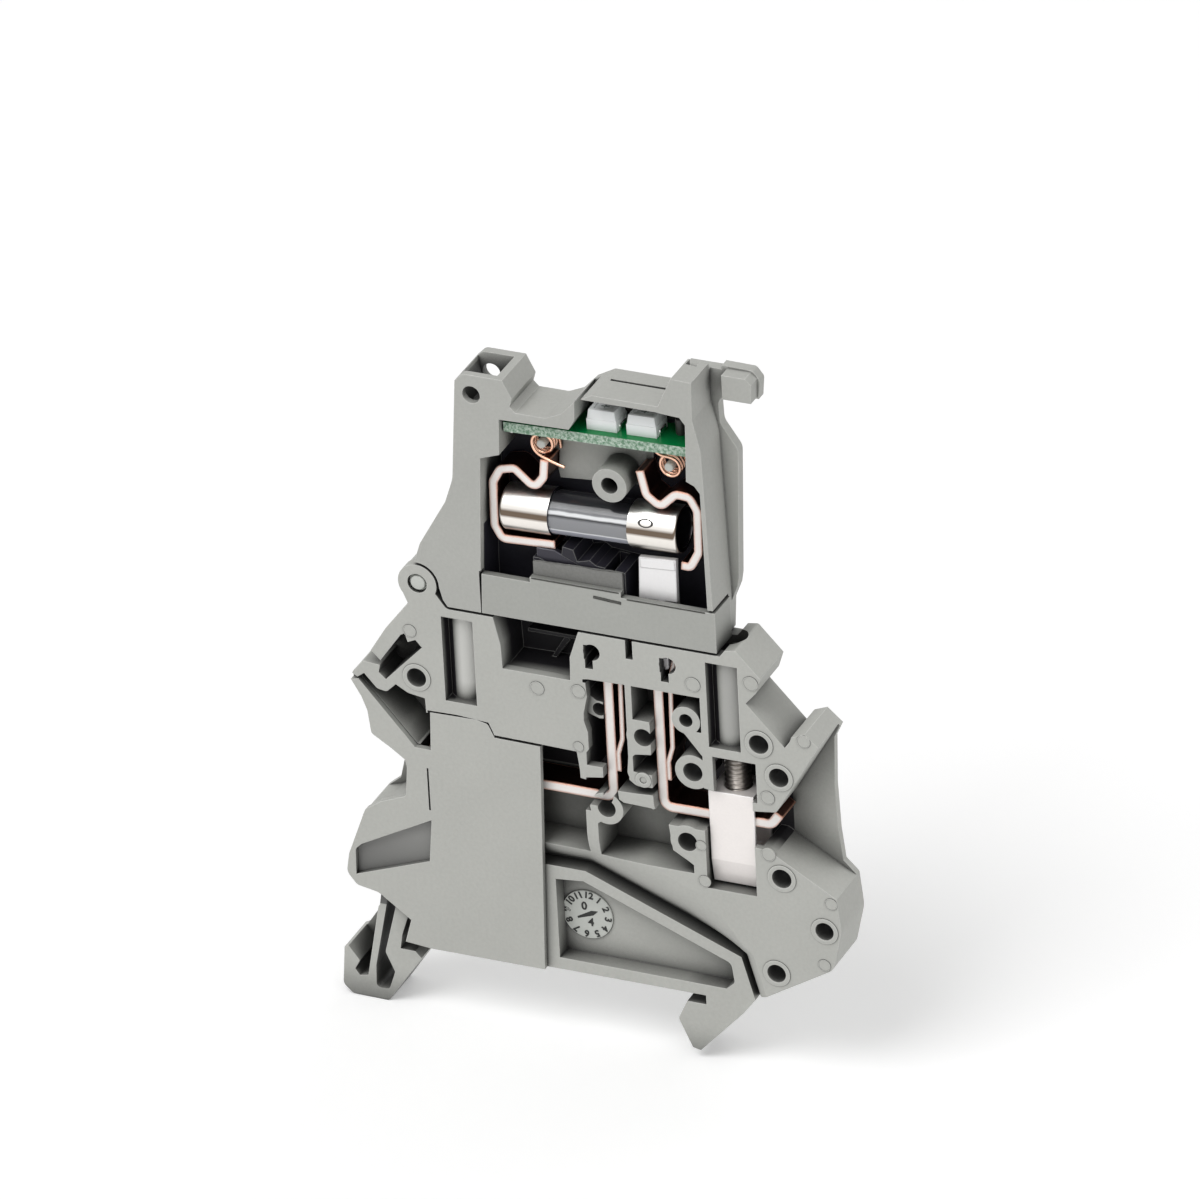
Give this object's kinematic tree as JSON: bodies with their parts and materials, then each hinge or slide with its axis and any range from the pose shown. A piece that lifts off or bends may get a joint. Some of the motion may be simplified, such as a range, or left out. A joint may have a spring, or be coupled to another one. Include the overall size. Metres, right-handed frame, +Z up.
{
  "type": "fuse terminal block",
  "caption": "Narrow rail-mounted fuse terminal block: open moulded housing with screw clamps and busbars, and a swinging lever that carries a glass fuse.",
  "frame": {"origin": "centre of the rail seat, midway between the rail's lips and midway across the block's width", "axes": "+X along the block towards the fixed rail foot, +Y across the block away from its open side, +Z up from the rail"},
  "size_m": [0.0585, 0.0062, 0.0819],
  "materials": {
    "grey_moulding": "fine matt",
    "copper": "bare drawn copper",
    "bright_plating": "bright tin plating",
    "screw_steel": "zinc plated",
    "fuse_cap": "nickel plated",
    "fuse_glass": "clear",
    "board_green": "lacquered board",
    "led_white": "moulded white"
  },
  "bodies": {
    "base": {"housing": "grey_moulding", "left_cover": "grey_moulding", "left_busbar": "copper", "right_busbar": "copper", "left_contact_spring": "copper", "right_contact_spring": "copper", "lever_pin": "grey_moulding"},
    "lever": {"lever_body": "grey_moulding", "lever_cover": "grey_moulding", "fuse_glass": "fuse_glass", "fuse_wire": "screw_steel", "fuse_cap_left": "fuse_cap", "fuse_cap_right": "fuse_cap", "left_fuse_clip": "copper", "right_fuse_clip": "copper", "left_blade_contact": "bright_plating", "right_blade_contact": "bright_plating", "circuit_board": "board_green", "led_left": "led_white", "led_right": "led_white", "left_coil_spring": "copper", "right_coil_spring": "copper"},
    "left_screw": {"left_clamp_screw": "screw_steel"},
    "right_screw": {"right_clamp_screw": "screw_steel"},
    "left_sleeve": {"left_clamp_sleeve": "bright_plating"},
    "right_sleeve": {"right_clamp_sleeve": "bright_plating"}
  },
  "joints": [
    {"name": "lever_hinge", "type": "hinge", "parent": "base", "child": "lever", "pos_m": [-0.0128, 0, 0.0445], "axis": [0, -1, 0], "range_deg": [0, 75]},
    {"name": "left_screw_turn", "type": "hinge", "parent": "base", "child": "left_screw", "pos_m": [-0.0085, 0, 0.03], "axis": [0, 0, -1], "range_deg": [0, 2880]},
    {"name": "right_screw_turn", "type": "hinge", "parent": "base", "child": "right_screw", "pos_m": [0.0215, 0, 0.03], "axis": [0, 0, -1], "range_deg": [0, 2880]},
    {"name": "left_sleeve_slide", "type": "slide", "parent": "base", "child": "left_sleeve", "axis": [0, 0, 1], "range_m": [0, 0.004]},
    {"name": "right_sleeve_slide", "type": "slide", "parent": "base", "child": "right_sleeve", "axis": [0, 0, 1], "range_m": [0, 0.004]}
  ],
  "couplings": [
    {"joint": "left_screw_turn", "follows": "left_sleeve_slide", "rad_per_m": 12566},
    {"joint": "right_screw_turn", "follows": "right_sleeve_slide", "rad_per_m": 12566}
  ]
}
